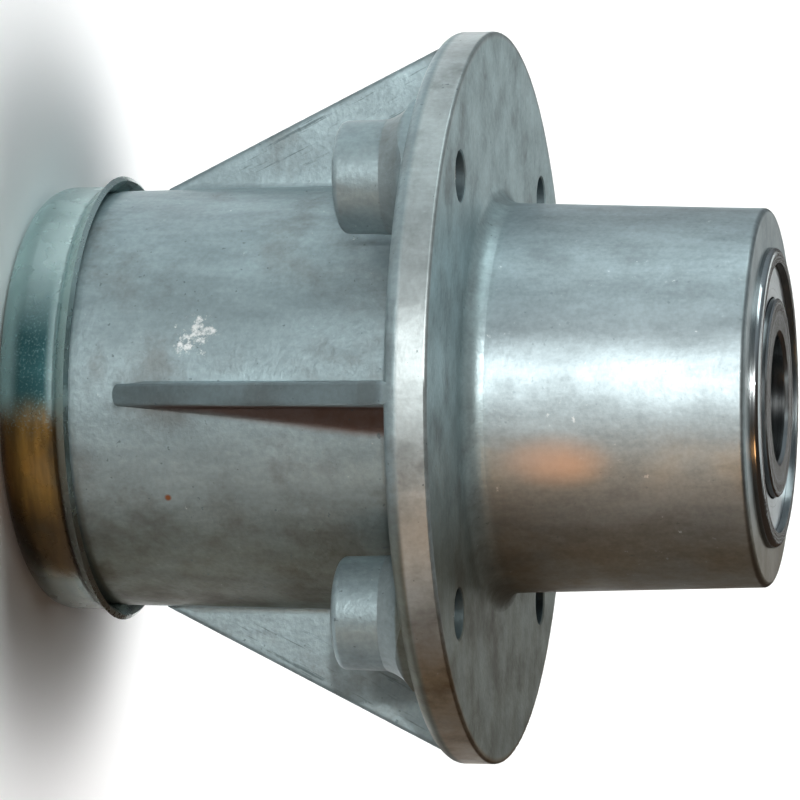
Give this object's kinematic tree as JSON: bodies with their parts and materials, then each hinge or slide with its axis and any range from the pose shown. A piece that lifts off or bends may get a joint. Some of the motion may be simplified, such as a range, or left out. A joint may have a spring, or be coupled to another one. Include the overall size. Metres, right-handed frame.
{
  "type": "spindle housing",
  "caption": "Flanged cast housing with ribbed barrel, bolt bosses and a drafted nose, carrying shielded ball bearings for a spindle and a pressed dust cap.",
  "frame": {"origin": "centre of the flange's mounting face, on the spindle axis", "axes": "+Z along the spindle axis towards the nose, away from the ribbed barrel; ribs on X and Y"},
  "size_m": [0.128, 0.128, 0.1305],
  "materials": {
    "casting": "as cast, matt",
    "cap_plating": "zinc plated",
    "ring_steel": "ground",
    "shield_steel": "satin",
    "ball_steel": "polished",
    "cage_steel": "pressed",
    "sleeve_steel": "drawn tube"
  },
  "bodies": {
    "housing": {"housing": "casting", "dust_cap": "cap_plating", "nose_outer_ring": "ring_steel", "nose_shield_upper": "shield_steel", "nose_shield_lower": "shield_steel", "barrel_outer_ring": "ring_steel", "barrel_shield_upper": "shield_steel", "barrel_shield_lower": "shield_steel"},
    "nose_inner": {"nose_inner_ring": "ring_steel"},
    "nose_ball_set": {"nose_cage_upper": "cage_steel", "nose_cage_lower": "cage_steel", "nose_cage_rivets": "cage_steel", "nose_ball_1": "ball_steel", "nose_ball_2": "ball_steel", "nose_ball_3": "ball_steel", "nose_ball_4": "ball_steel", "nose_ball_5": "ball_steel", "nose_ball_6": "ball_steel", "nose_ball_7": "ball_steel", "nose_ball_8": "ball_steel", "nose_ball_9": "ball_steel"},
    "barrel_inner": {"barrel_inner_ring": "ring_steel", "spacer_sleeve": "sleeve_steel"},
    "barrel_ball_set": {"barrel_cage_upper": "cage_steel", "barrel_cage_lower": "cage_steel", "barrel_cage_rivets": "cage_steel", "barrel_ball_1": "ball_steel", "barrel_ball_2": "ball_steel", "barrel_ball_3": "ball_steel", "barrel_ball_4": "ball_steel", "barrel_ball_5": "ball_steel", "barrel_ball_6": "ball_steel", "barrel_ball_7": "ball_steel"}
  },
  "joints": [
    {"name": "nose_inner_turn", "type": "hinge", "parent": "housing", "child": "nose_inner", "pos_m": [0, 0, 0.0414], "axis": [0, 0, 1], "continuous": true},
    {"name": "nose_cage_turn", "type": "hinge", "parent": "housing", "child": "nose_ball_set", "pos_m": [0, 0, 0.0414], "axis": [0, 0, 1], "continuous": true},
    {"name": "barrel_inner_turn", "type": "hinge", "parent": "housing", "child": "barrel_inner", "pos_m": [0, 0, -0.0713], "axis": [0, 0, 1], "continuous": true},
    {"name": "barrel_cage_turn", "type": "hinge", "parent": "housing", "child": "barrel_ball_set", "pos_m": [0, 0, -0.0713], "axis": [0, 0, 1], "continuous": true}
  ],
  "couplings": [
    {"joint": "nose_cage_turn", "follows": "nose_inner_turn", "ratio": 0.39691},
    {"joint": "barrel_cage_turn", "follows": "barrel_inner_turn", "ratio": 0.36771}
  ]
}
